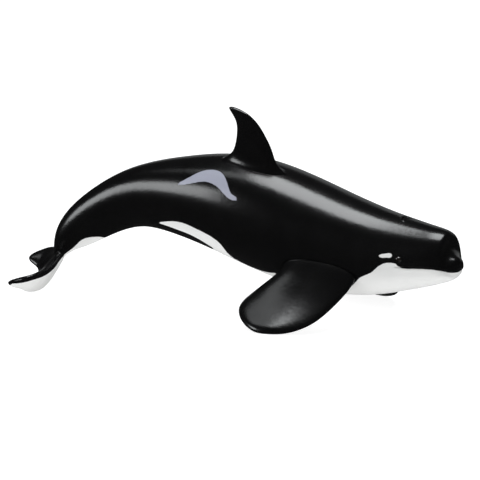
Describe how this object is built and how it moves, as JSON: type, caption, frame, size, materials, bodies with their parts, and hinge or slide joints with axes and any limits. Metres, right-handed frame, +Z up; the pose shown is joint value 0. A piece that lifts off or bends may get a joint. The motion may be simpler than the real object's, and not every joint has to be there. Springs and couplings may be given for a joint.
{
  "type": "toy orca figurine",
  "caption": "Solid moulded vinyl figure of an orca in a curved swimming pose that rests on both flippers and its tail flukes.",
  "frame": {"origin": "middle of the figure's footprint box, on the floor it lies on", "axes": "+X towards the snout, +Y to the animal's left, +Z up"},
  "size_m": [0.2028, 0.0826, 0.0848],
  "materials": {
    "black_vinyl": "satin to gloss painted black vinyl",
    "white_vinyl": "satin white vinyl",
    "eye_black": "gloss black paint"
  },
  "bodies": {
    "root": {"head": "black_vinyl", "lower_jaw": "white_vinyl", "eye_left": "eye_black", "eye_right": "eye_black", "trunk": "black_vinyl", "tail_stock": "black_vinyl", "fluke_left": "black_vinyl", "fluke_right": "black_vinyl", "dorsal_fin": "black_vinyl", "flipper_left": "black_vinyl", "flipper_right": "black_vinyl"}
  },
  "joints": []
}
